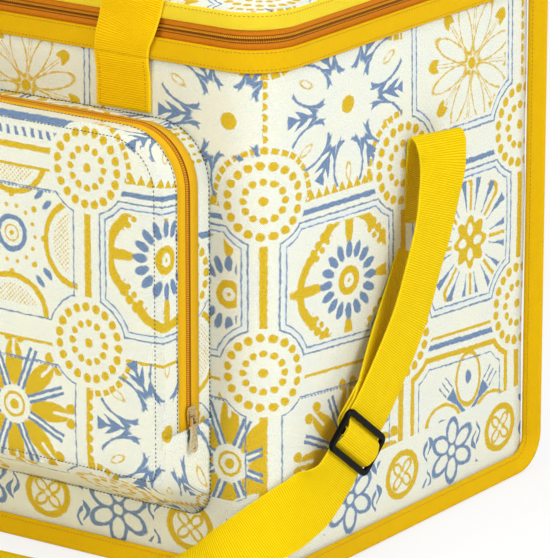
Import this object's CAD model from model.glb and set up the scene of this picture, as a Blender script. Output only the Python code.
"""A soft cooler bag with a tile print, yellow webbing and zips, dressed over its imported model.

Metres, +X to the bag's right, +Y from front to back, +Z up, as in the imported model.
"""

import math

import bmesh
import bpy
from mathutils import Matrix, Vector, noise
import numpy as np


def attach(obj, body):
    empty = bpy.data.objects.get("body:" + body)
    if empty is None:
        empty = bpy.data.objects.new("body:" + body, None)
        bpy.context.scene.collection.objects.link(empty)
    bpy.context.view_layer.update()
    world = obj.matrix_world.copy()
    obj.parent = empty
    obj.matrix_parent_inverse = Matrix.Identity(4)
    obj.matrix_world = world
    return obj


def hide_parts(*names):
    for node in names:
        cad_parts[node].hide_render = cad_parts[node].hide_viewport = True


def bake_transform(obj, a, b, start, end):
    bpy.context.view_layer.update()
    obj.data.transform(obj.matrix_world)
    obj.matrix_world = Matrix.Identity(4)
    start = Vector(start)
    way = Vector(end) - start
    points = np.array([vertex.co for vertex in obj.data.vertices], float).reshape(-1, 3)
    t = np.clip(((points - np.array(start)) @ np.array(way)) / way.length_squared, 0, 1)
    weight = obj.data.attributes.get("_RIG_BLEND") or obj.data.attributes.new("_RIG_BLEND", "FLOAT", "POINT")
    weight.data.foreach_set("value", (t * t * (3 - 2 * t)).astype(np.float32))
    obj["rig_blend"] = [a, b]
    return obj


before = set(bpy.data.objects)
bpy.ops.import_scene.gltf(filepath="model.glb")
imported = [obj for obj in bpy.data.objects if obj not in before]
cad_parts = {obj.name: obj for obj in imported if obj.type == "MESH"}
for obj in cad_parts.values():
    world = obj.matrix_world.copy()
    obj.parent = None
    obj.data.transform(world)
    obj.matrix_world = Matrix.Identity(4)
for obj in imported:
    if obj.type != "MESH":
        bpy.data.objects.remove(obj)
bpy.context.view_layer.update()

MM = 0.001

# Body
HALF_WIDTH = 200 * MM
HALF_DEPTH = 142.5 * MM
CORNER = 30 * MM
HEEL = 14 * MM
BAND_BOTTOM = 319 * MM
WALL_TOP = 321 * MM
BODY_TOP = 333 * MM
CHAIN_LEVEL = 339 * MM
RIM_TOP = 344.3 * MM
LID_BOTTOM = 345 * MM
LID_TOP = 356 * MM
FABRIC = 1.2 * MM
LINING_INSET = 7.6 * MM
LINING_FLOOR = 12.7 * MM
ZIP_BACK_END = HALF_DEPTH - 6.5 * MM
CHAIN_GAP = 0.9 * MM

# Pocket
POCKET_DEPTH = 50 * MM
POCKET_MIDDLE = Vector((0, 180 * MM))
POCKET_HALF = 161 * MM
POCKET_HALF_HEIGHT = 108 * MM
POCKET_ZIP_DEPTH = 23 * MM
POCKET_ZIP_END = 103 * MM
POCKET_GAP = 0.2 * MM

# Webbing
HANDLE_WIDTH = 40 * MM
HANDLE_WEBBING = 2 * MM
STRAP_WIDTH = 39.2 * MM
STRAP_WEBBING = 1.5 * MM
LEG_X = 97 * MM


# ---- Numbers read at each point of a surface ----


class Reading:
    """A number read at each point of a surface, reckoned with like a plain number."""

    tree = None

    def __init__(self, socket):
        self.socket = socket

    def __add__(self, other):
        return reckon("ADD", self, other)

    def __sub__(self, other):
        return reckon("SUBTRACT", self, other)

    def __rsub__(self, other):
        return reckon("SUBTRACT", other, self)

    def __mul__(self, other):
        return reckon("MULTIPLY", self, other)

    def __truediv__(self, other):
        return reckon("DIVIDE", self, other)

    def __neg__(self):
        return reckon("MULTIPLY", self, -1)

    def __abs__(self):
        return reckon("ABSOLUTE", self)

    __radd__ = __add__
    __rmul__ = __mul__


def lead(value, place):
    """Leads a reading, a socket or a plain value to an input."""
    source = value.socket if isinstance(value, Reading) else value
    if isinstance(source, bpy.types.NodeSocket):
        Reading.tree.links.new(source, place)
    else:
        place.default_value = (*value, 1) if place.type == "RGBA" else value


def add_node(kind, *values):
    """A new node in the tree at hand, with the values led to its first inputs."""
    node = Reading.tree.nodes.new("ShaderNode" + kind)
    for place, value in zip(node.inputs, values):
        lead(value, place)
    return node


def reckon(kind, *values):
    node = add_node("Math", *values)
    node.operation = kind
    return Reading(node.outputs[0])


def least(first, *others):
    for other in others:
        first = reckon("MINIMUM", first, other)
    return first


def most(first, *others):
    for other in others:
        first = reckon("MAXIMUM", first, other)
    return first


def span(x, y):
    node = add_node("VectorMath", add_node("CombineXYZ", x, y).outputs[0])
    node.operation = "LENGTH"
    return Reading(node.outputs["Value"])


def around(value, half):
    """Wraps a value to between -half and half."""
    return reckon("WRAP", value, half, -half)


def bearing(x, y):
    return reckon("ARCTAN2", y, x)


def sector(far, turn, count, start=0.0):
    """Folds the plane into equal sectors: how far along a sector's middle, and how far off it."""
    folded = around(turn - math.radians(start), math.pi / count)
    return far * reckon("COSINE", folded), far * reckon("SINE", folded)


def wave(value, pitch):
    return reckon("SINE", value * (2 * math.pi / pitch)) * 0.5 + 0.5


def noise_node(place, scale, detail):
    node = add_node("TexNoise", place)
    node.inputs["Scale"].default_value = scale
    node.inputs["Detail"].default_value = detail
    return node


def grain(place, scale, detail=1.0):
    return Reading(noise_node(place, scale, detail).outputs[0])


def split(place, kind="XYZ"):
    return [Reading(output) for output in add_node("Separate" + kind, place).outputs]


def canvas_weave(place, pitch=1.3 * MM):
    """Over-and-under threads of a plain weave, 0 to 1."""
    warp, weft = (reckon("SINE", value * (2 * math.pi / pitch)) for value in split(place)[:2])
    return warp * weft * 0.5 + 0.5


def mix_colour(share, first, second):
    node = add_node("Mix")
    node.data_type = "RGBA"
    for index, value in ((0, share), (6, first), (7, second)):
        lead(value, node.inputs[index])
    return node.outputs[2]


def new_finish(name, roughness, specular=0.5):
    """A new material, whose tree is then the one at hand, and its shader."""
    material = bpy.data.materials.new(name)
    material.use_nodes = True
    Reading.tree = material.node_tree
    shader = Reading.tree.nodes["Principled BSDF"]
    shader.inputs["Roughness"].default_value = roughness
    shader.inputs["Specular IOR Level"].default_value = specular
    return material, shader


def read_cloth():
    """The cloth map, and its measure along and across in millimetres."""
    cloth = add_node("UVMap")
    cloth.uv_map = "cloth"
    along, across, _ = split(cloth.outputs[0])
    return cloth.outputs[0], along * 1000, across * 1000


def dress_surface(shader, colour, height, depth):
    """Leads the colour and the relief to the shader."""
    bump = add_node("Bump")
    bump.inputs["Distance"].default_value = depth
    lead(height, bump.inputs["Height"])
    lead(bump.outputs[0], shader.inputs["Normal"])
    lead(colour, shader.inputs["Base Color"])


# ---- Camera, floor and light ----


def add_object(name, data):
    made = bpy.data.objects.new(name, data)
    bpy.context.scene.collection.objects.link(made)
    return made


def stand_camera():
    """The camera fitted to the edges in the photograph. Its distances are in millimetres."""
    azimuth, elevation = math.radians(35.074), math.radians(16.58)
    aim_right, aim_up, distance = 4.993, 188.959, 2838.463
    back = Vector((
        math.sin(azimuth) * math.cos(elevation),
        -math.cos(azimuth) * math.cos(elevation),
        math.sin(elevation),
    ))
    right = Vector((math.cos(azimuth), math.sin(azimuth), 0))
    up = back.cross(right)
    near_corner = Vector((HALF_WIDTH, -HALF_DEPTH, 0))
    aim = near_corner + right * aim_right * MM + up * aim_up * MM
    camera = add_object("camera", bpy.data.cameras.new("camera"))
    camera.location = aim + back * distance * MM
    camera.rotation_euler = Matrix((right, up, back)).transposed().to_euler()
    camera.data.sensor_width = 36
    focal_pixels, picture_height = 4722.508, 558
    camera.data.lens = focal_pixels * camera.data.sensor_width / picture_height
    camera.data.clip_end = 50
    bpy.context.scene.camera = camera


def lay_floor():
    """A pale floor that keeps the bag's shadow and is lifted to white where the camera sees it."""
    material, shader = new_finish("white_floor", 1, 0)
    lead((0.93, 0.93, 0.93), shader.inputs["Base Color"])
    path = add_node("LightPath")
    seen = reckon("MAXIMUM", path.outputs["Is Camera Ray"], path.outputs["Is Glossy Ray"])
    white = add_node("Emission", (1, 1, 1), 1)
    mix = add_node("MixShader", seen * 0.75, shader.outputs[0], white.outputs[0])
    lead(mix.outputs[0], Reading.tree.nodes["Material Output"].inputs["Surface"])
    ground = bmesh.new()
    bmesh.ops.create_circle(ground, cap_ends=True, radius=6, segments=64)
    mesh = bpy.data.meshes.new("floor")
    ground.to_mesh(mesh)
    ground.free()
    mesh.materials.append(material)
    add_object("floor", mesh)


def hang_lamp(name, place, size, power, colour=(1, 1, 1)):
    lamp = bpy.data.lights.new(name, "AREA")
    lamp.size = size
    lamp.energy = power
    lamp.color = colour
    holder = add_object(name, lamp)
    holder.location = place
    aim = Vector((0.1, 0, 0.18))
    holder.rotation_euler = (aim - Vector(place)).to_track_quat("-Z", "Y").to_euler()


def light_studio():
    world = bpy.data.worlds.new("studio")
    bpy.context.scene.world = world
    world.use_nodes = True
    Reading.tree = world.node_tree
    fill = Reading.tree.nodes["Background"]
    lead((1, 1, 1), fill.inputs["Color"])
    fill.inputs["Strength"].default_value = 0.42
    white = add_node("Background", (1, 1, 1), 1)
    seen = add_node("LightPath").outputs["Is Camera Ray"]
    mix = add_node("MixShader", seen, fill.outputs[0], white.outputs[0])
    lead(mix.outputs[0], Reading.tree.nodes["World Output"].inputs["Surface"])
    hang_lamp("key", (2.6, -0.5, 1.8), 1.3, 46)
    hang_lamp("front", (-0.9, -2.6, 1.5), 1.6, 35, (1, 0.95, 0.8))
    hang_lamp("top", (0.1, 0, 2.4), 1.4, 18)


# ---- Cloth drawn along a line ----


class Stop:
    """A place on a line of cloth: where it is, which way its width lies, and which way is out."""

    def __init__(self, centre, across, out, along):
        self.centre, self.across, self.out, self.along = centre, across, out, along

    def spot(self, width, proud):
        return self.centre + self.across * width + self.out * proud


def draw_strip(rings):
    """Draws a closed strip by extruding its end face from ring to ring. A ring gives, for each
    point of the section, its place and its measure along and across the cloth."""
    cloth = bmesh.new()
    along = cloth.verts.layers.float.new("along")
    across = cloth.verts.layers.float.new("across")
    order = cloth.verts.layers.int.new("order")
    first = [cloth.verts.new(place) for place, _, _ in rings[0]]
    for number, vertex in enumerate(first):
        vertex[order] = number
    end = cloth.faces.new(first)
    for number, ring in enumerate(rings):
        if number:
            grown = bmesh.ops.extrude_face_region(cloth, geom=[end])["geom"]
            if number > 1:
                bmesh.ops.delete(cloth, geom=[end], context="FACES_ONLY")
            end = next(item for item in grown if isinstance(item, bmesh.types.BMFace))
        for vertex in end.verts:
            vertex.co, vertex[along], vertex[across] = ring[vertex[order]]
    bmesh.ops.recalc_face_normals(cloth, faces=cloth.faces)
    return cloth


def pull_along(section, stops):
    """Draws a flat closed section along the stops. Its points are (width, proud)."""
    return draw_strip([
        [(stop.spot(width, proud), stop.along, width) for width, proud in section] for stop in stops
    ])


def smaller_rings(outline, middle, count):
    """The outline, and ever smaller copies of it about the middle."""
    rings = [outline]
    for step in range(1, count):
        shrink = (1 - step / count) / (1 - (step - 1) / count)
        rings.append([
            Vector([centre + (value - centre) * shrink for value, centre in zip(place, middle)])
            for place in rings[-1]
        ])
    return rings


def draw_sheet(rings, measured=None):
    """Draws a sheet by extruding its edge from ring to ring of places, and closes the last ring.
    Measured names the two axes that give its measure along and across."""
    cloth = bmesh.new()
    order = cloth.verts.layers.int.new("order")
    first = [cloth.verts.new(place) for place in rings[0]]
    for number, vertex in enumerate(first):
        vertex[order] = number
    edges = [cloth.edges.new((first[i], first[(i + 1) % len(first)])) for i in range(len(first))]
    for ring in rings[1:]:
        grown = bmesh.ops.extrude_edge_only(cloth, edges=edges)["geom"]
        edges = [item for item in grown if isinstance(item, bmesh.types.BMEdge) and item.is_boundary]
        for item in grown:
            if isinstance(item, bmesh.types.BMVert):
                item.co = ring[item[order]]
    bmesh.ops.holes_fill(cloth, edges=edges, sides=len(first))
    bmesh.ops.recalc_face_normals(cloth, faces=cloth.faces)
    if measured:
        along = cloth.verts.layers.float.new("along")
        across = cloth.verts.layers.float.new("across")
        for vertex in cloth.verts:
            vertex[along], vertex[across] = (vertex.co[axis] for axis in measured)
    return cloth


def finish_piece(name, cloth, materials, body, replaced, choose=None):
    """Makes the piece, lays its cloth measure, and lets it ride on its body."""
    along = cloth.verts.layers.float.get("along")
    across = cloth.verts.layers.float.get("across")
    if along is not None:
        measure = cloth.loops.layers.uv.new("cloth")
        for face in cloth.faces:
            for loop in face.loops:
                loop[measure].uv = (loop.vert[along], loop.vert[across])
    for face in cloth.faces:
        face.smooth = len(face.verts) <= 4
        if choose:
            face.material_index = choose(face)
    mesh = bpy.data.meshes.new(name)
    cloth.to_mesh(mesh)
    cloth.free()
    piece = add_object(name, mesh)
    for material in materials:
        mesh.materials.append(material)
    if body:
        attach(piece, body)
    if replaced:
        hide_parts(*replaced)
    return piece


def thicken(piece, name, thickness):
    wall = piece.modifiers.new(name, "SOLIDIFY")
    wall.thickness = thickness
    wall.offset = -1


def rounded_strip(low, high, back, front, round_over, crown=0.0):
    """Section of a strip: (width, proud) points round it, with rounded edges and a slight crown."""
    points = []
    middle = (back + front) / 2
    half = (front - back) / 2
    reach = min(round_over, half, (high - low) / 2)
    for side, edge in ((1, high), (-1, low)):
        for step in range(5):
            turn = math.pi / 2 * (1 - step / 2)
            points.append((edge + side * (reach * math.cos(turn) - reach), middle + side * half * math.sin(turn)))
        for step in range(1, 6):
            share = step / 6
            width = edge + side * (-reach) + (low + high - 2 * edge + side * 2 * reach) * share
            swell = crown * math.sin(math.pi * share) if side < 0 else 0
            points.append((width, middle - side * half + swell))
    return points


def crumple(cloth, depth, size, seed, where=None):
    """Presses slow, shallow waves into the cloth, so that it isn't dead flat."""
    cloth.normal_update()
    offset = Vector((seed * 3.7, seed * 1.3, seed * 5.1))
    moves = []
    for vertex in cloth.verts:
        share = where(vertex.co) if where else 1.0
        moves.append(vertex.normal * noise.noise(vertex.co / size + offset) * depth * share)
    for vertex, move in zip(cloth.verts, moves):
        vertex.co += move


# ---- Lines that the cloth follows ----


def ease(share):
    """From 0 to 1 with a soft start and end, held at its ends."""
    share = min(max(share, 0), 1)
    return share * share * (3 - 2 * share)


def wall_line(back_y):
    """Up the right side, round the front and back along the left side. Its measure is 0 at the
    middle of the right front corner, and grows to the back along the right side."""
    inner, front_y = HALF_WIDTH - CORNER, -HALF_DEPTH + CORNER
    quarter = math.pi / 2 * CORNER
    mark = back_y - front_y + quarter / 2
    up = Vector((0, 0, 1))
    stops = []
    corner_steps = 14
    for start, end, degrees in (
        ((HALF_WIDTH, back_y), (HALF_WIDTH, front_y), 0),
        ((inner, -HALF_DEPTH), (-inner, -HALF_DEPTH), -90),
        ((-HALF_WIDTH, front_y), (-HALF_WIDTH, back_y), -180),
    ):
        start, end = Vector((*start, 0)), Vector((*end, 0))
        angle = math.radians(degrees)
        out = Vector((math.cos(angle), math.sin(angle), 0))
        length = (end - start).length
        count = max(2, round(length / (10 * MM)))
        for step in range(count):
            share = step / count
            stops.append(Stop(start.lerp(end, share), up, out, mark - length * share))
        mark -= length
        if degrees == -180:
            stops.append(Stop(end, up, out, mark))
            break
        for step in range(corner_steps):
            share = step / corner_steps
            turned = math.radians(degrees - 90 * share)
            out_now = Vector((math.cos(turned), math.sin(turned), 0))
            stops.append(Stop(end + (out_now - out) * CORNER, up, out_now, mark - quarter * share))
        mark -= quarter
    return stops


def curve_through(points, steps, tension=None):
    """Smooth points through the given ones: centripetal for places, even for directions."""
    places = [Vector(p) for p in points]
    row = [places[0] * 2 - places[1], *places, places[-1] * 2 - places[-2]]
    made = []
    for p0, p1, p2, p3 in zip(row, row[1:], row[2:], row[3:]):
        if tension is None:
            d1, d2, d3 = (max((b - a).length ** 0.5, 1e-5) for a, b in ((p0, p1), (p1, p2), (p2, p3)))
            m1 = ((p1 - p0) / d1 - (p2 - p0) / (d1 + d2) + (p2 - p1) / d2) * d2
            m2 = ((p2 - p1) / d2 - (p3 - p1) / (d2 + d3) + (p3 - p2) / d3) * d2
        else:
            m1, m2 = (p2 - p0) * tension, (p3 - p1) * tension
        for step in range(steps):
            t = step / steps
            made.append(
                p1 * (2 * t ** 3 - 3 * t ** 2 + 1) + m1 * (t ** 3 - 2 * t ** 2 + t)
                + p2 * (3 * t ** 2 - 2 * t ** 3) + m2 * (t ** 3 - t ** 2)
            )
    made.append(places[-1])
    return made


def webbing_through(centres, sides, first=None, last=None, square=None):
    """Stops along the centres. Square says at each how far its width is turned square to the line."""
    stops = []
    run = 0.0
    end = len(centres) - 1
    for i, centre in enumerate(centres):
        before, after = centres[max(i - 1, 0)], centres[min(i + 1, end)]
        along = (after - before).normalized()
        if i == 0 and first:
            along = first
        if i == end and last:
            along = last
        side = (sides[i] - along * sides[i].dot(along) * (square[i] if square else 1)).normalized()
        run += (centre - before).length
        stops.append(Stop(centre, side, side.cross(along).normalized(), run))
    return stops


# ---- Tile print, reckoned in node maths ----


def oval(x, y, centre, long, wide):
    return (span((x - centre) / long, y / wide) - 1) * min(long, wide)


def line(edge, half):
    return abs(edge) - half


def inside(edge, soft=0.3):
    """1 inside an edge distance, 0 outside, with a soft edge of ink."""
    return Reading(add_node("MapRange", edge, soft, -soft).outputs[0])


def dot_ring(far, turn, radius, count, size):
    return span(around(turn, math.pi / count) * radius, far - radius) - size


# Each motif gives the edges of its yellow and of its blue ink, in millimetres from its centre.
NO_INK = 50


def leaf_burst(x, y):
    x, y = x * 0.88, y * 0.92
    far, turn = span(x, y), bearing(x, y)
    px, py = sector(far, turn, 6, 30)
    qx, qy = sector(far, turn, 6)
    petal = oval(px, py, 34, 15, 10.5)
    star = oval(px, py, 13, 8.5, 3.6)
    between = oval(qx, qy, 14, 9.5, 3.8)
    along_leaf, off = around(qx - abs(qy) - 3, 4.6), abs(qy)
    leaflet = oval(along_leaf * 0.8 + off * 0.6, off * 0.8 - along_leaf * 0.6, 3.2, 5.4, 2.5)
    leaf = most(least(leaflet, abs(qy) - 1.0), line(qx - 31, 14), far - 47)
    horn = most(line(petal, 1.1) - most(26 - px, 0) * 0.16, 19 - px, px - 44)
    blue = most(least(leaf, horn), -petal - 0.4, 0.3 - star, 0.3 - between)
    yellow = least(far - 4.8, line(oval(px, py, 37, 4.6, 1.9), 0.28))
    return yellow, blue


def outline_daisy(x, y):
    far, turn = span(x, y), bearing(x, y)
    px, py = sector(far, turn, 8, 15)
    qx, qy = sector(far, turn, 8, 37.5)
    petal = oval(px, py, 22, 16, 5.2)
    bud = most(oval(qx, qy, 35, 6, 4.2), 33.5 - qx - abs(qy) * 0.6)
    stem = most(line(line(qy, 0.9), 0.22), line(qx - 18, 14))
    return least(far - 3.6, line(petal, 0.42), bud, stem), NO_INK


def lobed_wreath(x, y):
    far, turn = span(x, y), bearing(x, y)
    px, py = sector(far, turn, 4)
    qx, qy = sector(far, turn, 4, 45)
    arc = most(line(span(px - 22, py / 1.2) - 19, 2.9), 27 - px)
    bud = most(oval(px, py, 32, 9.5, 3.4) - most(px - 34, 0) * 0.2, 22 - px)
    bead = around(qy, 3.1)
    beads = most(least(span(bead, qx - 37.5) - 2.9, span(bead, qx - 32.5) - 2.0), abs(qy) - 11)
    ring = most(line(far - 6.6, 2.3), -oval(px, py, 0, 4, 4))
    wx, wy = sector(far, turn, 16)
    return least(arc, bud, beads, ring, far - 1.3), oval(wx, wy, 19, 5.2, 2.7)


def fan_flower(x, y):
    far, turn = span(x, y), bearing(x, y)
    px, py = sector(far, turn, 4)
    head = most(far - 14 - 2.2 * reckon("COSINE", turn * 8), -oval(px, py, 7.6, 3.9, 2.7))
    qx, qy = sector(far, turn, 8)
    hook = most(line(span(qx - 34, qy - 4.4) - 4.4, 1.5), 34 - qx)
    stroke = least(most(abs(qy) - 1.1, line(qx - 27, 8)), hook)
    wx, wy = sector(far, turn, 16, 11.25)
    drop = most(abs(wy) - 0.35 - most(wx - 24, 0) * 0.15, line(wx - 29, 10))
    return least(head, stroke), drop


def four_eyes(x, y):
    far, turn = span(x, y), bearing(x, y)
    px, py = sector(far, turn, 4)
    qx, qy = sector(far, turn, 4, 45)
    petal = oval(px, py, 24, 14, 10)
    eye = oval(px, py, 25, 4.2, 2.8)
    cross = most(abs(qy) - 1.3 - most(qx - 15, 0) * 0.34, qx - 25)
    tuft = most(line(around(qy, 2.0), 0.5), line(qx - 31, 5), abs(qy) - 7)
    return least(line(petal - 1.5, 1.0), line(far - 3, 0.4)), least(eye, cross, tuft)


def hatched_quatrefoil(x, y):
    far, turn = span(x, y), bearing(x, y)
    px, py = sector(far, turn, 4)
    qx, qy = sector(far, turn, 4, 45)
    lobe = span(px - 48, py / 1.15) - 22
    star = most(line(lobe, 1.7), px - 49)
    hatch = most(span(around(x + y, 1.5), around(x - y, 1.5)) - 0.75, lobe + 5.5, px - 43)
    marks = dot_ring(far, turn, 17.5, 14, 1.3)
    beads = dot_ring(far, turn, 24, 8, 2.0)
    drops = oval(qx, abs(qy) - 4, 34, 4.2, 1.9)
    return least(star, hatch, marks, beads, far - 1.6, line(far - 4.8, 0.5)), least(line(far - 10, 1.6), drops)


def cross_flower(x, y):
    far, turn = span(x, y), bearing(x, y)
    px, py = sector(far, turn, 8)
    qx, qy = sector(far, turn, 8, 22.5)
    leaf = most(oval(px, py, 27, 15, 6.4), -(abs(py) - 1.1) - most(30 - px, 0))
    pips = oval(px, abs(py) - 4.6, 43, 3.6, 3.2)
    curl = most(line(abs(qy) - 1.9, 1.0), line(qx - 26, 14))
    return least(leaf, pips, far - 3.2, line(far - 7.2, 0.9)), curl


def strip_flowers(x, y):
    """The row along the base: outlined daisies and ringed flowers by turns, ribbons between them."""
    spacing = 57.0
    number = reckon("FLOOR", x / spacing + 0.5)
    lx = x - number * spacing
    odd = abs(around(number, 1.0)) * 500
    far, turn = span(lx / 1.15, y), bearing(lx / 1.15, y)
    dx, dy = sector(far, turn, 6, 30)
    daisy = most(line(oval(dx, dy, 12, 8.8, 5.4), 1.15), -(far - 3.2)) + odd
    rx, ry = sector(far, turn, 4, 45)
    ring = least(line(far - 13.8, 2.1), most(line(oval(rx, ry, 6.2, 4.8, 2.9), 0.8), 2 - far)) + (500 - odd)
    bend = around(x - spacing / 2, spacing / 2) + 4.2 * reckon("SINE", y * 0.26 + number * 2)
    ribbon = most(line(bend, 2.5 - 1.6 * abs(reckon("SINE", y * 0.2 + 0.7))), line(y, 16))
    return ring, least(daisy, ribbon)


MOTIFS = (leaf_burst, outline_daisy, lobed_wreath, fan_flower, four_eyes, hatched_quatrefoil, cross_flower)
LEAF, DAISY, WREATH, FAN, EYES, QUATREFOIL, CROSS, BARE = range(8)

# Motif of the tile: two columns by turns for rows 0, 1 and 2, on the walls and then on the pocket
WALL_TILES = (WREATH, FAN, LEAF, DAISY, CROSS, EYES)
POCKET_TILES = (WREATH, QUATREFOIL, LEAF, BARE, LEAF, CROSS)
TILE_WIDE, TILE_HIGH = 114.0, 107.0
STRIP_TOP = 22.5
NO_STRIP = 60.0


def draw_print():
    """Node group of the whole print. It takes the place in tiles and gives the colour."""
    group = Reading.tree = bpy.data.node_groups.new("tile_print", "ShaderNodeTree")
    for name in ("Column", "Row", "Shift", "Lift", "Strip", "Strip height", "Turn", "Pocket"):
        group.interface.new_socket(name, in_out="INPUT", socket_type="NodeSocketFloat")
    group.interface.new_socket("Wobble", in_out="INPUT", socket_type="NodeSocketVector")
    group.interface.new_socket("Colour", in_out="OUTPUT", socket_type="NodeSocketColor")
    given = group.nodes.new("NodeGroupInput").outputs
    column, row, shift, lift, strip, strip_height, turned, pocket = (Reading(given[i]) for i in range(8))
    place = given["Wobble"]

    # Hand-painted edges: every line wanders a little
    wander = split(noise_node(place, 260, 2).outputs["Color"], "Color")
    sway_x, sway_y, blot = ((value - 0.5) * reach for value, reach in zip(wander, (1.3, 1.3, 1.4)))

    across, up = column * TILE_WIDE + sway_x, row * TILE_HIGH + sway_y
    tile = reckon("FLOOR", column)
    level = reckon("FLOOR", row + 5 / TILE_HIGH)
    x = across - (tile + 0.5) * TILE_WIDE
    y = up - (level + 0.5) * TILE_HIGH

    # Roundels on the corners of the tiles
    rx, ry = around(across, TILE_WIDE / 2), around(up, TILE_HIGH / 2)
    far, turn = span(rx, ry), bearing(rx, ry)
    yellow = least(dot_ring(far, turn, 22, 19, 2.75), dot_ring(far, turn, 12, 12, 2.25), far - 2.8)
    out = far - 28
    between = -out

    # Which motif the tile holds
    step = reckon("MODULO", level + 30, 3) * 2 + reckon("MODULO", tile + turned + 30, 2) + pocket * 6

    def absent(*wanted):
        """0 where the tile holds one of the wanted motifs, a large number elsewhere."""
        hits = [reckon("COMPARE", step, index, 0.3)
                for index, kind in enumerate(WALL_TILES + POCKET_TILES) if kind in wanted]
        return (1 - sum(hits[1:], hits[0])) * 300

    top, bottom = TILE_HIGH / 2 - y, TILE_HIGH / 2 + y
    sides = TILE_WIDE / 2 - abs(x)
    edge = least(sides - 9, top - 16.5, bottom - 8, out)
    blue = NO_INK
    for kind, motif in enumerate(MOTIFS):
        gone = absent(kind)
        clear = 6.5 - edge if kind in (DAISY, WREATH, FAN) else (between if kind == LEAF else 3 - out)
        motif_yellow, motif_blue = motif(x - shift, y - lift)
        yellow = least(yellow, most(motif_yellow, clear) + gone)
        blue = least(blue, most(motif_blue, clear) + gone)

    # Frames and bars between the tiles
    framed, burst, barred = absent(DAISY, WREATH, FAN), absent(LEAF), absent(BARE)
    plain, eyed = absent(QUATREFOIL, CROSS), absent(EYES)
    teeth = abs(around(across, 3.3)) * 1.9
    yellow = least(
        yellow,
        most(sides - 2.3, between, 150 - absent(LEAF, DAISY, BARE)),
        most(span(x + TILE_WIDE / 2, around(up, 3.3)) - 2.6, between) + burst,
        most(bottom - 1.6 + teeth, -4.6 - bottom, between) + burst,
        most(line(out - 3, 1.8), line(around(turn * 34, 3.3), 2.4)) + burst,
        line(edge - 2, 1.7) + eyed,
        most(line(top - 5, 1.9), between) + least(plain, eyed, burst),
        most(line(bottom - 6, 1.9), between) + barred,
    )
    blue = least(
        blue,
        least(line(edge, 0.55), line(edge - 3.9, 0.42)) + framed,
        line(edge - 1.5, 0.45) + plain,
        line(edge - 8, 0.4) + eyed,
        most(line(top - 19, 0.5), line(around(across, 1.4), 0.8), between) + plain,
        most(line(top - 11.2, 1.6), between) + least(framed, eyed),
        most(line(bottom - 15, 2.6), line(around(across + bottom * 0.3, 3.0), 1.3), between) + barred,
        most(line(bottom - 24, 2.2), between) + barred,
    )
    pale = most(line(edge - 2.9, 1.1) + framed, between)

    # Strip of small flowers along the base
    strip_yellow, strip_blue = strip_flowers(strip + sway_x, strip_height + sway_y)
    lower = inside(strip_height - STRIP_TOP, 0.01)
    yellow = reckon("MULTIPLY_ADD", lower, strip_yellow - yellow, yellow)
    blue = reckon("MULTIPLY_ADD", lower, strip_blue - blue, blue)
    pale = pale + lower * NO_INK

    # Cream canvas, and inks that lie unevenly on its threads
    speckle, canvas = grain(place, 1100, 3) - 0.5, canvas_weave(place) - 0.5
    threads = speckle * 3.2 + canvas * 0.8 + 0.72
    bare = mix_colour(threads, (0.62, 0.66, 0.55), (0.95, 0.985, 0.92))
    ground = mix_colour((grain(place, 45, 2) - 0.5) * 1.2 + 0.25, bare, (0.93, 0.92, 0.72))
    washed = mix_colour(inside(pale) * 0.55, ground, (0.72, 0.83, 0.93))
    inked = speckle * 2.4 + canvas * 0.5 + 0.52
    yellow_ink = mix_colour(inked, (0.56, 0.3, 0.002), (0.88, 0.67, 0.035))
    blue_ink = mix_colour(inked, (0.06, 0.13, 0.29), (0.29, 0.42, 0.62))
    colour = mix_colour(inside(yellow + blot, 0.35), washed, yellow_ink)
    colour = mix_colour(inside(blue + blot, 0.35), colour, blue_ink)
    lead(colour, group.nodes.new("NodeGroupOutput").inputs["Colour"])
    return group


# Each layout turns the measure along the cloth and the height, in millimetres, into the tile's
# column and row, the motif's shift and lift, and the place in the strip of small flowers.


def side_layout(along, height):
    row = (height - 135 + along * 0.08) / (along * 0.045 + 106)
    return along / 136, row, 8.0, -7.0, along + 32.4, height - 35


def front_layout(along, height):
    near = reckon("GREATER_THAN", along, -TILE_WIDE)
    return along / TILE_WIDE, (height - 135) / 106, near * 36, -5.0, (along + 104.6) * 1.05, height - 31


def pocket_layout(along, height):
    return (along - 108) / TILE_WIDE, (height - 154.7) / 107.5, 0.0, 5.0, along, NO_STRIP


def plain_layout(along, height):
    """The same print where the fabric hasn't a corner to start from: back, base and lid."""
    return along / TILE_WIDE + 0.5, height / TILE_HIGH, 0.0, 0.0, along, NO_STRIP


# ---- Finishes ----


def print_cloth(name, group, layout, turned=0, pocket=0):
    """Printed canvas. The cloth map gives the measure along the wall and the height."""
    material, shader = new_finish(name, 0.78, 0.2)
    cloth, along, height = read_cloth()
    ink = add_node("Group")
    ink.node_tree = group
    for value, place in zip((*layout(along, height), turned, pocket, cloth), ink.inputs):
        lead(value, place)
    dress_surface(shader, ink.outputs["Colour"], canvas_weave(cloth) + grain(cloth, 1100, 3) * 1.2, 0.3 * MM)
    return material


def webbing_finish(name, first, second, selvedge):
    """Grosgrain webbing: close ribs across it, fine lengthwise threads and a firm edge."""
    material, shader = new_finish(name, 0.7, 0.06)
    place, along, across = read_cloth()
    shaky = along + (grain(place, 400, 1) - 0.5) * 0.16
    rib = reckon("POWER", wave(shaky, 1.42), 0.7)
    thread = wave(across + shaky * 0.5, 0.8)
    edge = inside(18.9 - abs(across), 0.2)
    shade = rib * 0.75 + thread * 0.15 + grain(place, 130, 2) * 0.2
    colour = mix_colour(edge * 0.5, mix_colour(shade, first, second), selvedge)
    dress_surface(shader, colour, rib * (1 - edge * 0.6) + thread * 0.25 + edge * 0.5, 0.25 * MM)
    return material


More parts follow.
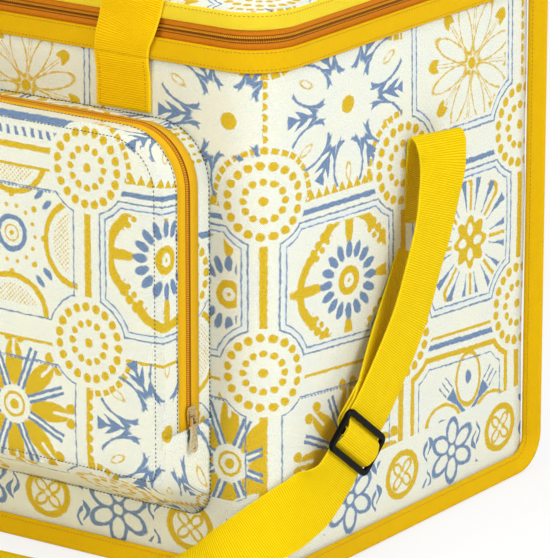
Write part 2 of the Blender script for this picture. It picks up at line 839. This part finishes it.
def trim_finish(name, first, second):
    """Close twill of the bands and the bound seam."""
    material, shader = new_finish(name, 0.7, 0.06)
    place, along, across = read_cloth()
    soft = grain(place, 900, 2)
    twill = wave(along + across + soft * 0.5, 1.25)
    cross = wave(along * 0.6 - across, 1.0)
    shade = twill * 0.5 + cross * 0.1 + soft * 0.3 + grain(place, 120, 2) * 0.2
    dress_surface(shader, mix_colour(shade, first, second), twill * 0.8 + cross * 0.3 + soft * 0.4, 0.26 * MM)
    return material


def tape_finish(name, chain_edge, first, second):
    """Zip tape with its half of the coil along the chain edge, which is a measure across it."""
    material, shader = new_finish(name, 0.65, 0.15)
    place, along, across = read_cloth()
    off = across - chain_edge * 1000
    coil = inside(abs(off) - 1.6, 0.12)
    turn = reckon("POWER", wave(along + off * 0.25, 1.35), 0.6)
    tape = wave(along + abs(around(across, 1.0)) * 1.2, 0.9)
    groove = inside(line(abs(off) - 1.75, 0.3), 0.2)
    seam = inside(line(abs(off) - 0.1, 0.35), 0.2)
    cloth = mix_colour(tape * 0.5 + grain(place, 700, 2) * 0.5, first, second)
    beads = mix_colour(turn, (0.4, 0.09, 0.003), (0.9, 0.42, 0.02))
    colour = mix_colour(most(groove, seam) * 0.75, mix_colour(coil, cloth, beads), (0.15, 0.034, 0.003))
    dress_surface(shader, colour, turn * coil * 1.4 + tape * (1 - coil) * 0.5 - groove, 0.25 * MM)
    return material


def solid_finish(name, first, second, roughness, metallic=0.0, scale=900.0, depth=0.03 * MM, specular=0.5):
    """Metal, plastic or thread: a slight mottle and small marks of handling."""
    material, shader = new_finish(name, roughness, specular)
    place = add_node("TexCoord").outputs["Object"]
    fine, broad = grain(place, scale, 4), grain(place, scale / 7, 2)
    lead(fine * 0.16 + (roughness - 0.08), shader.inputs["Roughness"])
    shader.inputs["Metallic"].default_value = metallic
    dress_surface(shader, mix_colour(fine * 0.5 + broad * 0.5, first, second), fine, depth)
    return material


def lining_finish():
    """Wipe-clean silver film with faint crinkles."""
    material, shader = new_finish("silver_film", 0.38, 0.5)
    place = add_node("TexCoord").outputs["Object"]
    crinkle = grain(place, 55, 5)
    shader.inputs["Metallic"].default_value = 0.55
    colour = mix_colour(crinkle, (0.5, 0.52, 0.55), (0.78, 0.8, 0.83))
    dress_surface(shader, colour, crinkle + grain(place, 420, 2) * 0.2, 1.2 * MM)
    return material


tile_print = draw_print()
print_front = print_cloth("print_front", tile_print, front_layout, turned=1)
print_side = print_cloth("print_side", tile_print, side_layout)
print_pocket = print_cloth("print_pocket", tile_print, pocket_layout, pocket=1)
print_plain = print_cloth("print_plain", tile_print, plain_layout)
trim_cloth = trim_finish("trim_cloth", (0.74, 0.37, 0.0012), (0.91, 0.61, 0.005))
lid_trim_cloth = trim_finish("lid_trim_cloth", (0.78, 0.46, 0.002), (0.98, 0.86, 0.06))
handle_cloth = webbing_finish("handle_cloth", (0.82, 0.37, 0.0008), (0.99, 0.69, 0.002), (0.95, 0.72, 0.02))
strap_cloth = webbing_finish("strap_cloth", (0.68, 0.36, 0.0008), (0.93, 0.72, 0.002), (0.9, 0.7, 0.02))
rust, amber = ((0.5, 0.13, 0.002), (0.82, 0.29, 0.005)), ((0.72, 0.35, 0.003), (0.94, 0.58, 0.008))
lower_zip_cloth = tape_finish("lower_zip_cloth", CHAIN_LEVEL - CHAIN_GAP / 2, *rust)
upper_zip_cloth = tape_finish("upper_zip_cloth", CHAIN_LEVEL + CHAIN_GAP / 2, *rust)
rear_zip_cloth = tape_finish("rear_zip_cloth", POCKET_ZIP_DEPTH - CHAIN_GAP / 2, *amber)
front_zip_cloth = tape_finish("front_zip_cloth", POCKET_ZIP_DEPTH + CHAIN_GAP / 2, *amber)
zip_metal = solid_finish("zip_metal", (0.62, 0.5, 0.3), (0.86, 0.76, 0.56), 0.26, metallic=1.0)
black_plastic = solid_finish("black_plastic", (0.0014, 0.0013, 0.0012), (0.003, 0.0028, 0.0026), 0.22,
                              depth=0.004 * MM, specular=0.07)
base_board = solid_finish("base_board", (0.05, 0.05, 0.055), (0.09, 0.09, 0.095), 0.55, scale=400.0)
gold_thread = solid_finish("gold_thread", (0.36, 0.14, 0.004), (0.62, 0.3, 0.008), 0.7, scale=2500.0)
dark_thread = solid_finish("dark_thread", (0.018, 0.018, 0.022), (0.09, 0.075, 0.06), 0.7, scale=2500.0)
silver_film = lining_finish()


# ---- Stitches ----


def run_stitches(name, path, body, material=gold_thread, thick=0.55 * MM):
    """A row of stitches along a path of (place, out) pairs, all one piece."""
    pitch, length = 2.7 * MM, 1.9 * MM
    thread = bmesh.new()
    pace = pitch / 2
    travelled = 0.0
    for (start, out), (end, next_out) in zip(path, path[1:]):
        gap = (end - start).length
        while gap > 1e-9 and pace <= travelled + gap:
            share = (pace - travelled) / gap
            along = (end - start).normalized()
            facing = out.lerp(next_out, share)
            facing = (facing - along * facing.dot(along)).normalized()
            pose = Matrix((along, facing.cross(along), facing)).transposed().to_4x4()
            pose = Matrix.Translation(start.lerp(end, share)) @ pose
            pose = pose @ Matrix.Diagonal((length / 2, thick / 2, thick / 2, 1))
            bmesh.ops.create_icosphere(thread, subdivisions=1, radius=1, matrix=pose)
            pace += pitch
        travelled += gap
    finish_piece(name, thread, [material], body, ())


def beside_edge(stops, width, proud):
    """The path that a row of stitches takes along a piece of cloth."""
    return [(stop.spot(width, proud), stop.out) for stop in stops]


# ---- Body ----


def loop_of(spots, thickness):
    """Section of a flat cloth: out along the spots, and back beneath them."""
    return [(spot, 0) for spot in spots] + [(spot, -thickness) for spot in reversed(spots)]


def arch(share):
    """0 at both ends of a panel and 1 in its middle."""
    return math.sin(math.pi * min(max(share, 0), 1))


def wall_swell(co):
    """How far a wall stands out at a height, from nothing at the base seam and the band."""
    return arch(co.z / BAND_BOTTOM) ** 0.8


def sew_walls():
    hem, near = 0.3 * MM, 2 * MM
    side_swell, front_swell = 2.2 * MM, 0.15 * MM
    levels = [hem + (WALL_TOP - hem) * i / 32 for i in range(33)]
    cloth = pull_along(loop_of(levels, FABRIC), wall_line(HALF_DEPTH))
    for vertex in cloth.verts:
        x, y = vertex.co.x, vertex.co.y
        rise = wall_swell(vertex.co)
        if abs(x) > HALF_WIDTH - near:
            swell = arch((y + HALF_DEPTH - CORNER) / (2 * HALF_DEPTH - CORNER))
            vertex.co.x += math.copysign(side_swell * rise * swell, x)
        elif y < -HALF_DEPTH + near:
            swell = arch((x + HALF_WIDTH - CORNER) / (2 * (HALF_WIDTH - CORNER)))
            vertex.co.y -= front_swell * rise * swell
    crumple(cloth, 0.9 * MM, 60 * MM, 1, wall_swell)
    crumple(cloth, 0.35 * MM, 17 * MM, 2, wall_swell)
    measure = cloth.verts.layers.float["along"]

    def choose(face):
        return 1 if sum(vertex[measure] for vertex in face.verts) > 0 else 0

    finish_piece("body_walls", cloth, [print_front, print_side], "bag", ("front_side_wrap", "wall_foam"),
                 choose)


def sew_back_and_base():
    """One cloth down the back, round the heel and under the base, narrowing at the front corners."""
    back, down = Vector((0, 1, 0)), Vector((0, 0, -1))
    back_edge, front_edge = HALF_DEPTH - HEEL, -HALF_DEPTH + CORNER
    spots = []
    for step in range(25):
        spots.append((Vector((0, HALF_DEPTH, RIM_TOP + (HEEL - RIM_TOP) * step / 24)), back))
    for step in range(1, 9):
        angle = math.pi / 2 * step / 8
        out = Vector((0, math.cos(angle), -math.sin(angle)))
        spots.append((Vector((0, back_edge, HEEL)) + out * HEEL, out))
    for step in range(1, 26):
        spots.append((Vector((0, back_edge - (back_edge - front_edge) * step / 25, 0)), down))
    for step in range(1, 13):
        spots.append((Vector((0, front_edge - CORNER * math.sin(math.pi / 2 * step / 12), 0)), down))
    seam = 1.4 * MM
    half, inner = HALF_WIDTH - seam, CORNER - seam
    stops, run = [], 0
    for i, (centre, out) in enumerate(spots):
        run += (centre - spots[i - 1][0]).length if i else 0
        reach = half
        if centre.y < front_edge and out.z < -0.5:
            dip = min(front_edge - centre.y, inner)
            reach = half - inner + math.sqrt(max(inner ** 2 - dip ** 2, 0))
        stops.append(Stop(centre, Vector((reach / half, 0, 0)), out, run))
    widths = [-half + 2 * half * i / 24 for i in range(25)]
    finish_piece("back_and_base", pull_along(loop_of(widths, FABRIC), stops), [print_plain], "bag",
                 ("back_base_panel", "back_foam", "base_foam"))


def sew_lining():
    """The wipe-clean tub: its collar behind the zip tape, the rim over the padding, walls and floor."""
    line_round = wall_line(HALF_DEPTH)

    def outline(inset):
        places = [stop.centre.xy - stop.out.xy * inset for stop in line_round]
        return [(place.x, min(place.y, HALF_DEPTH - inset)) for place in places]

    rounds = [(inset * MM, RIM_TOP - drop * MM) for inset, drop in (
        (1.8, 9), (1.8, 0.8), (2.4, 0.2), (3.2, 0), (6.8, 0), (7.4, 0.2), (LINING_INSET / MM, 0.8),
    )]
    walls_begin = RIM_TOP - 2 * MM
    rounds += [(LINING_INSET, max(walls_begin - (RIM_TOP - 15 * MM) * i / 24, LINING_FLOOR)) for i in range(25)]
    rings = [[(x, y, level) for x, y in outline(inset)] for inset, level in rounds]
    rings += [[(x * (1 - step / 8), y * (1 - step / 8), LINING_FLOOR) for x, y, _ in rings[-1]]
              for step in range(1, 8)]
    cloth = draw_sheet(rings)
    bmesh.ops.reverse_faces(cloth, faces=cloth.faces)
    finish_piece("lining", cloth, [silver_film], "bag", ("liner_tub",))


def bind_seam():
    """A folded strip up both back edges and round the base, leaning out at the bottom."""
    width, half = 13 * MM, 1.8 * MM
    tuck, gap = 1 * MM, 0.3 * MM
    lean = math.radians(20)
    diagonal = math.sqrt(0.5)
    base_out = half + 0.1 * MM
    base_level = gap + (half - tuck) * math.sin(lean) + width * math.cos(lean)
    curve = 12 * MM
    x, y = HALF_WIDTH + gap, HALF_DEPTH + gap
    top = RIM_TOP - tuck
    right = []
    for step in range(26):
        z = top + (base_level + curve - top) * step / 26
        right.append((Vector((x, y, z)), Vector((diagonal, diagonal, 0)), Vector((diagonal, -diagonal, 0))))
    for step in range(13):
        share = step / 12
        angle = math.pi / 2 * share
        tilt = diagonal + (math.sin(lean) - diagonal) * share
        away = math.sqrt(1 - tilt * tilt)
        out = Vector((0, math.cos(angle), -math.sin(angle)))
        centre = Vector((
            x + (HALF_WIDTH + base_out - x) * share,
            y - curve + curve * math.cos(angle),
            base_level + curve - curve * math.sin(angle),
        ))
        right.append((centre, Vector((tilt, 0, 0)) + out * away, Vector((away, 0, 0)) - out * tilt))
    for stop in wall_line(y - curve - 8 * MM):
        if stop.centre.x < 0:
            break
        centre = stop.centre + stop.out * base_out + Vector((0, 0, base_level))
        flange = stop.out * math.sin(lean) - Vector((0, 0, math.cos(lean)))
        face = stop.out * math.cos(lean) + Vector((0, 0, math.sin(lean)))
        right.append((centre, flange, face))
    flip = Vector((-1, 1, 1))
    left = [[value * flip for value in spot] for spot in reversed(right)]
    if (right[-1][0] - left[0][0]).length < 1e-4:
        left = left[1:]
    stops, run, last = [], 0, right[0][0]
    for centre, flange, face in right + left:
        run += (centre - last).length
        last = centre
        stops.append(Stop(centre, flange, face, run))
    section = rounded_strip(0.4 * MM, width, -half, half, 1.3 * MM)
    section = [(w, p * (0.35 + 0.65 * min(w / (3 * MM), 1))) for w, p in section]
    finish_piece("seam_strip", pull_along(section, stops), [trim_cloth], "bag", ("seam_binding",))
    run_stitches("seam_stitches", beside_edge(stops, 3.1 * MM, half - 0.02 * MM), "bag")


def coil_section(tucked, edge):
    """Tape with a rounded coil bead along its chain edge, which all but meets the other one."""
    inward = math.copysign(1, tucked - edge)
    edge -= inward * 0.4 * MM
    front, back = -0.2 * MM, -1.0 * MM
    points = [(tucked, back), (tucked, front)]
    points += [(edge + inward * width * MM, front) for width in (3.2, 1.75)]
    for step in range(7):
        angle = math.pi * step / 6
        points.append((edge + inward * (0.8 + 0.8 * math.cos(angle)) * MM, front + 1.2 * MM * math.sin(angle)))
    points.append((edge, back))
    return points


def sew_zip_bands():
    line_round = wall_line(ZIP_BACK_END)
    for name, body, finish, low, high, crown in (
        ("lower", "bag", trim_cloth, BAND_BOTTOM, BODY_TOP, 0.35 * MM),
        ("upper", "lid", lid_trim_cloth, LID_BOTTOM, LID_TOP - 0.4 * MM, 0.3 * MM),
    ):
        section = rounded_strip(low, high, 0.2 * MM, 1.8 * MM, 0.8 * MM, crown)
        finish_piece(f"{name}_band", pull_along(section, line_round), [finish], body,
                     (f"{name}_zip_band",))
    for name, body, level in (("lower_band_stitches", "bag", BAND_BOTTOM + 2.1 * MM),
                              ("upper_band_stitches", "lid", LID_TOP - 2.6 * MM),
                              ("zip_stitches", "bag", BODY_TOP - 1.6 * MM)):
        run_stitches(name, beside_edge(line_round, level, 1.98 * MM), body)
    for name, body, finish, tucked, edge in (
        ("lower", "bag", lower_zip_cloth, BODY_TOP - 10 * MM, CHAIN_LEVEL - CHAIN_GAP / 2),
        ("upper", "lid", upper_zip_cloth, LID_TOP - 1.4 * MM, CHAIN_LEVEL + CHAIN_GAP / 2),
    ):
        finish_piece(f"{name}_tape", pull_along(coil_section(tucked, edge), line_round), [finish], body,
                     (f"zip_tape_{name}",))


# ---- Lid ----


def sew_lid():
    outline = [stop.centre.xy for stop in wall_line(HALF_DEPTH)]
    crown = 2.2 * MM

    def raised(x, y):
        edge = max(abs(x) / HALF_WIDTH, abs(y) / HALF_DEPTH)
        return x, y, LID_TOP + crown * (1 - edge ** 4)

    rings = [[raised(*place) for place in ring] for ring in smaller_rings(outline, (0, 0), 9)]
    lid = finish_piece("lid_cover", draw_sheet(rings, (0, 1)), [print_plain], "lid",
                       ("lid_top_panel", "lid_foam"))
    thicken(lid, "padding", 9.8 * MM)
    under = bmesh.new()
    face = under.faces.new([under.verts.new((x * 0.99, y * 0.99, LID_BOTTOM)) for x, y in outline])
    bmesh.ops.inset_region(under, faces=[face], thickness=14 * MM)
    bmesh.ops.solidify(under, geom=under.faces[:], thickness=-0.8 * MM)
    finish_piece("lid_lining", under, [silver_film], "lid", ("lid_liner",))


def hang_hinge_strip():
    half, thick = HALF_WIDTH - FABRIC, 0.6 * MM
    stops = []
    for step in range(17):
        z = (333 + 20 * step / 16) * MM
        stops.append(Stop(Vector((0, HALF_DEPTH + 0.8 * MM, z)), Vector((1, 0, 0)), Vector((0, 1, 0)), z))
    section = rounded_strip(-half, half, -thick, thick, thick)
    piece = finish_piece("hinge_cloth", pull_along(section, stops), [trim_cloth], None, ("hinge_strip",))
    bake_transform(piece, "bag", "lid", start=(0, HALF_DEPTH, 336 * MM), end=(0, HALF_DEPTH, 350 * MM))


# ---- Handles ----


def sew_handles():
    section = rounded_strip(-HANDLE_WIDTH / 2, HANDLE_WIDTH / 2, -HANDLE_WEBBING / 2, HANDLE_WEBBING / 2,
                            HANDLE_WEBBING / 2)
    over_band = 3.15 * MM
    # Half of the arch as a cubic curve: its four points, out from the middle and up, in millimetres
    p0, p1, p2, p3 = (Vector(p) * MM for p in ((97, 319.3), (100, 355.3), (172, 431.3), (0, 431.3)))
    steps = 44
    up = Vector((0, 0, 1))
    for end, facing in (("front", -1), ("back", 1)):
        centres, sides, square = [], [], []
        for i in range(-steps, steps + 1):
            sign = 1 if i < 0 else -1
            t = 1 - abs(i) / steps
            turn = math.pi / 2 * ease((t - 0.12) / 0.73)
            out = over_band + 1.3 * MM * ease(t / 0.1) + HANDLE_WIDTH / 2 * math.sin(turn)
            spot = p0 * (1 - t) ** 3 + p1 * 3 * t * (1 - t) ** 2 + p2 * 3 * t * t * (1 - t) + p3 * t ** 3
            centres.append(Vector((sign * spot.x, facing * (HALF_DEPTH + out), spot.y)))
            sides.append(Vector((sign * math.cos(turn), -facing * math.sin(turn), 0)))
            square.append(ease(t / 0.2))
        stops = webbing_through(centres, sides, up, -up, square)
        finish_piece(f"{end}_handle_arch", pull_along(section, stops), [handle_cloth], f"handle_{end}",
                     (f"{end}_handle",))
        # Each leg lies on the wall and steps up over the band just before its last row of stitches
        sewn = 33 if end == "front" else 120
        climb = ((1.3, -sewn), (1.3, -16), (1.55, -11), (2.4, -6.5), (3.05, -3), (over_band / MM, 0.3))
        for side, sign in (("left", -1), ("right", 1)):
            centres = curve_through([(sign * LEG_X, facing * (HALF_DEPTH + out * MM), BAND_BOTTOM + rise * MM)
                                     for out, rise in climb], 8)
            stops = webbing_through(centres, [Vector((1, 0, 0))] * len(centres), last=up)
            finish_piece(f"{end}_{side}_leg", pull_along(section, stops), [handle_cloth], "bag",
                         (f"handle_leg_{end}_{side}",))
            outward = 1 if stops[0].out.y * facing > 0 else -1
            for number, edge in enumerate((-16.7 * MM, 16.7 * MM)):
                seam = [(stop.spot(edge, outward * HANDLE_WEBBING / 2), stop.out * outward) for stop in stops]
                run_stitches(f"{end}_{side}_leg_stitches_{number}", seam, "bag")


# ---- Pocket ----


def pocket_outline(depth, inset, upper):
    """The pocket's edge at a depth in front of the body, as (x, z) points from the right end of its
    zip to the left end, over the top or under the bottom."""
    share = depth / POCKET_DEPTH
    half = (159 + 2 * share) * MM - inset
    if upper:
        radius, fall, start = 36 * MM - inset, 1, POCKET_ZIP_END
        level = (283.5 + 5 * share) * MM - inset
        rise_steps, corner_steps, run_steps = 14, 14, 14
    else:
        radius, fall, start = (16 - 6 * share) * MM - inset, -1, POCKET_ZIP_END - POCKET_GAP
        level = (40 + 32 * share) * MM + inset
        rise_steps, corner_steps, run_steps = 8, 10, 22
    turn_level = level - fall * radius
    points = [Vector((half, start + (turn_level - start) * step / rise_steps)) for step in range(rise_steps)]
    for step in range(corner_steps + 1):
        angle = math.pi / 2 * step / corner_steps
        out, rise = radius * math.cos(angle), fall * radius * math.sin(angle)
        points.append(Vector((half - radius + out, turn_level + rise)))
    points += [Vector(((half - radius) * (1 - step / run_steps), level)) for step in range(1, run_steps)]
    return points + [Vector((0, level))] + [Vector((-p.x, p.y)) for p in reversed(points)]


def pocket_round(depth, inset):
    """The whole edge of the pocket, once round."""
    return pocket_outline(depth, inset, True) + pocket_outline(depth, inset, False)[::-1][1:-1]


def pocket_place(point, depth):
    return Vector((point.x, -(HALF_DEPTH + POCKET_GAP + depth), point.y))


def pocket_strip(section, upper, shift=None):
    """Draws a strip along the pocket's edge. The section's points are (depth, inset).
    With a shift, it carries on the print of the front panel from that far beside it."""
    runs = [pocket_outline(depth, inset, upper) for depth, inset in section]
    rim = pocket_outline(POCKET_DEPTH, 0, upper)
    rings, run = [], 0.0
    for i, edge in enumerate(rim):
        run += (runs[0][i] - runs[0][i - 1]).length if i else 0
        after, before = rim[min(i + 1, len(rim) - 1)], rim[max(i - 1, 0)]
        outward = (after - before).orthogonal().normalized()
        if outward.dot(edge - POCKET_MIDDLE) < 0:
            outward = -outward
        ring = []
        for (depth, _), places in zip(section, runs):
            measure = edge + outward * (POCKET_DEPTH - depth) + Vector(shift) if shift else (run, depth)
            ring.append((pocket_place(places[i], depth), *measure))
        rings.append(ring)
    return draw_strip(rings)


def pocket_edge(x, z):
    """0 in the middle of the front panel, 1 at its edge."""
    return max(abs(x) / POCKET_HALF, abs(z - POCKET_MIDDLE.y) / POCKET_HALF_HEIGHT)


def near_seam(co):
    """0 in the middle of the front panel, 1 along its seam."""
    return min(max(pocket_edge(co.x, co.z) - 0.86, 0) / 0.07, 1)


def sew_pocket():
    tape = 10.5 * MM
    rear_edge = POCKET_ZIP_DEPTH - CHAIN_GAP / 2
    front_edge = POCKET_ZIP_DEPTH + CHAIN_GAP / 2
    for name, start, end, steps, shift, creases in (
        ("lower", 0, POCKET_DEPTH, 14, (0, 0), (1.3 * MM, 13 * MM, 3)),
        ("rear", 0, rear_edge - tape - POCKET_GAP, 6, (37 * MM, 64 * MM), (0.5 * MM, 6 * MM, 4)),
        ("front", front_edge + tape + POCKET_GAP, POCKET_DEPTH, 6, (0, 0), (0.4 * MM, 7 * MM, 5)),
    ):
        section = loop_of([start + (end - start) * i / steps for i in range(steps + 1)], -FABRIC)
        cloth = pocket_strip(section, name != "lower", shift)
        crumple(cloth, *creases)
        finish_piece(f"pocket_{name}_gusset", cloth, [print_pocket], "bag", (f"pocket_gusset_{name}",))
    for name, finish, edge, tucked in (("rear", rear_zip_cloth, rear_edge, rear_edge - tape),
                                       ("front", front_zip_cloth, front_edge, front_edge + tape)):
        section = [(width, -proud) for width, proud in coil_section(tucked, edge)]
        finish_piece(f"pocket_{name}_tape", pocket_strip(section, True), [finish], "bag",
                     (f"pocket_zip_tape_{name}",))

    # Front panel: a dished rim, then flat, with puckers along its seam
    back, dish = -(HALF_DEPTH + POCKET_GAP + POCKET_DEPTH + 0.2 * MM), 2.2 * MM

    def dished(x, z):
        spot = Vector((x, back, z))
        spot.y -= dish * min((1 - min(pocket_edge(x, z), 1)) * 8, 1) ** 0.5
        return spot

    rings = smaller_rings(pocket_round(POCKET_DEPTH, -0.4 * MM), POCKET_MIDDLE, 14)
    cloth = draw_sheet([[dished(*place) for place in ring] for ring in rings], (0, 2))
    crumple(cloth, 0.5 * MM, 14 * MM, 6)
    crumple(cloth, 1.5 * MM, 8 * MM, 7, near_seam)
    panel = finish_piece("pocket_front", cloth, [print_pocket], "bag", ("pocket_front_panel",))
    thicken(panel, "cloth_thickness", 1.6 * MM)

    def topstitch(name, points, depth, front=False):
        path = []
        for point in points:
            out = Vector((0, -1, 0)) if front else Vector((point.x, 0, point.y - POCKET_MIDDLE.y)).normalized()
            path.append((pocket_place(point, depth), out))
        run_stitches(name, path, "bag", dark_thread, 0.7 * MM)

    panel_round = pocket_round(POCKET_DEPTH, 4.2 * MM)
    wall_round = pocket_round(0.9 * MM, -0.35 * MM)
    topstitch("panel_topstitch", panel_round + panel_round[:1], POCKET_DEPTH + 2.35 * MM, front=True)
    topstitch("wall_topstitch", wall_round + wall_round[:1], 1.1 * MM)
    depth = front_edge + tape + 1.6 * MM
    topstitch("tape_topstitch", pocket_outline(depth, -0.15 * MM, True), depth)


# ---- Shoulder strap ----


def beside(out, back, height):
    """A place by its distances out from the right side, back from the front and up, in millimetres."""
    return Vector((HALF_WIDTH + out * MM, back * MM - HALF_DEPTH, height * MM))


BUCKLE_CENTRE = beside(16, 72.8, 78.7)
BUCKLE_ACROSS = Vector((0, 0.797, -0.604)).normalized()
BUCKLE_OUT = BUCKLE_ACROSS.cross(Vector((0.15, 0.61, 0.778))).normalized()
BUCKLE_UP = BUCKLE_OUT.cross(BUCKLE_ACROSS).normalized()

# Each row of a route: out, back and height of the webbing's middle, then which way its width lies
BACK_LAYER = (
    (9.5, 112.5, 128, 0, 0.84, -0.54),
    (4.8, 138.5, 155, 0, 0.93, -0.37),
    (1.6, 156.5, 178, 0, 0.985, -0.17),
    (1.3, 162.5, 196, 0, 1, 0),
    (1.3, 164, 212, 0, 1, 0),
    (1.6, 164.5, 228, 0, 1, 0),
)
FOLD = (
    (5.6, 164, 241, 0.13, 0.99, 0),
    (8.8, 163, 249, 0.24, 0.97, 0),
    (12.8, 161.7, 253, 0.3, 0.95, 0),
    (17, 160.3, 249.5, 0.28, 0.96, 0),
)
FRONT_LAYER = (
    (20, 158.5, 237, 0.2, 0.97, -0.02),
    (22, 151.7, 217.5, 0.1, 0.97, -0.15),
    (22.6, 144.9, 198.3, 0.04, 0.95, -0.3),
    (22.3, 135.2, 177, 0, 0.92, -0.38),
    (21, 121.5, 146.2, 0, 0.87, -0.48),
    (19.2, 102.5, 118, 0, 0.82, -0.56),
)
RIGHT_RUN = (
    (11.3, 56.7, 61.3, 0.04, 0.8, -0.6),
    (10.5, 46.6, 56.2, 0.14, 0.8, -0.585),
    (9, 24.5, 49.5, 0.4, 0.74, -0.54),
    (3, -0.5, 41.5, 0.72, 0.2, -0.56),
    (-7, -19.5, 33.5, 0.78, -0.31, -0.545),
    (-29, -37.5, 21, 0.45, -0.82, -0.35),
    (-60, -47.5, 10.5, 0.16, -0.97, -0.12),
    (-98, -52.5, 3.8, 0, -1, 0),
    (-140, -54.5, 1.7, 0, -1, 0),
)
LEFT_ANCHOR = (
    (13, 60.5, 70, 0, 0.8, -0.6),
    (13, 92.5, 105, 0, 0.82, -0.56),
    (9, 126.5, 142, 0, 0.9, -0.42),
    (3.5, 152.5, 172, 0, 0.975, -0.2),
    (1.3, 162.5, 196, 0, 1, 0),
    (1.3, 164, 232, 0, 1, 0),
)


def sew_strap():
    """One length of webbing, slung round the buckle's bar, folded, threaded and laid round the front."""
    def in_buckle(spots):
        return [(BUCKLE_CENTRE + BUCKLE_UP * up * MM + BUCKLE_OUT * out * MM, BUCKLE_ACROSS) for up, out in spots]

    def on_route(rows, flip=Vector((1, 1, 1))):
        return [(beside(*row[:3]) * flip, Vector(row[3:]) * flip) for row in rows]

    # Millimetres up and out from the buckle's middle: its middle bar, a slot, and the webbing's levels
    bar, slot = 2, 8.5
    reach, level, corner = 2.6, 2.1, 0.95 * math.sqrt(0.5)
    straight = 20
    back_level = -level - 2.75
    tail_level = back_level - 2.2
    crest = level + 1.2
    sling = (
        (straight + 14, tail_level), (straight, tail_level), (bar + slot * 0.7, tail_level),
        (bar + slot * 0.3, tail_level + 0.8), (bar, tail_level + 2.55), (0, -level - 1.05),
        (0.5 - bar, -level - 0.1), (-bar - corner, 0.4 - level), (-reach, -level / 2), (-reach, level / 2),
        (-bar - corner, level - 0.4), (0.5 - bar, level), (bar - 0.5, level), (bar + corner, level - 0.4),
        (reach, level / 2), (reach + 0.25, -level * 0.7), (bar + slot * 0.35, back_level + 1.1),
        (bar + slot * 0.7, back_level + 0.1), (14.5, back_level), (straight + 2, back_level),
    )
    half_thread = (
        (straight + 2, -level - 0.05), (bar + slot + 2.5, -level - 0.25), (bar + slot - 1.1, 0.35 - level),
        (bar + slot * 0.6, 1.2), (bar + slot * 0.3, crest - 0.95), (bar, crest - 0.1),
    )
    threading = half_thread + tuple((-up, out) for up, out in reversed(half_thread[1:]))
    route = in_buckle(sling) + on_route(BACK_LAYER + FOLD + FRONT_LAYER) + in_buckle(threading)
    route += on_route(RIGHT_RUN) + on_route(RIGHT_RUN[:1:-1] + LEFT_ANCHOR, Vector((-1, 1, 1)))
    centres = curve_through([place for place, _ in route], 8)
    sides = curve_through([width for _, width in route], 8, tension=0.3)
    square = [min(max(((centre - BUCKLE_CENTRE).length - 25 * MM) / (25 * MM), 0), 1) for centre in centres]
    stops = webbing_through(centres, sides, square=square)
    for stop in stops:
        squeeze = min(max(1 - ((stop.centre - BUCKLE_CENTRE).length - 9 * MM) / (6 * MM), 0), 1)
        stop.out = stop.out * (1 - 0.35 * squeeze)
        stop.across = stop.across * (1 + 0.03 * squeeze)
    half = STRAP_WEBBING / 2
    section = rounded_strip(-STRAP_WIDTH / 2, STRAP_WIDTH / 2, -half, half, half)
    finish_piece("strap", pull_along(section, stops), [strap_cloth], "bag", ("shoulder_strap",))


# ---- Solids kept as they are ----


def dress_cad(names, material):
    """A node whose shape is right keeps it, and gets a finish."""
    for name in names:
        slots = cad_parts[name].data.materials
        slots.clear()
        slots.append(material)


bpy.context.scene.view_settings.view_transform = "Standard"
stand_camera()
lay_floor()
light_studio()
sew_walls()
sew_back_and_base()
sew_lining()
bind_seam()
sew_zip_bands()
sew_lid()
hang_hinge_strip()
sew_handles()
sew_pocket()
sew_strap()
dress_cad(("main_slider_left", "main_slider_right", "main_pull_left", "main_pull_right", "pocket_slider",
           "pocket_pull", "pocket_zip_stop_left", "pocket_zip_stop_right"), zip_metal)
dress_cad(("tri_glide",), black_plastic)
dress_cad(("base_board",), base_board)
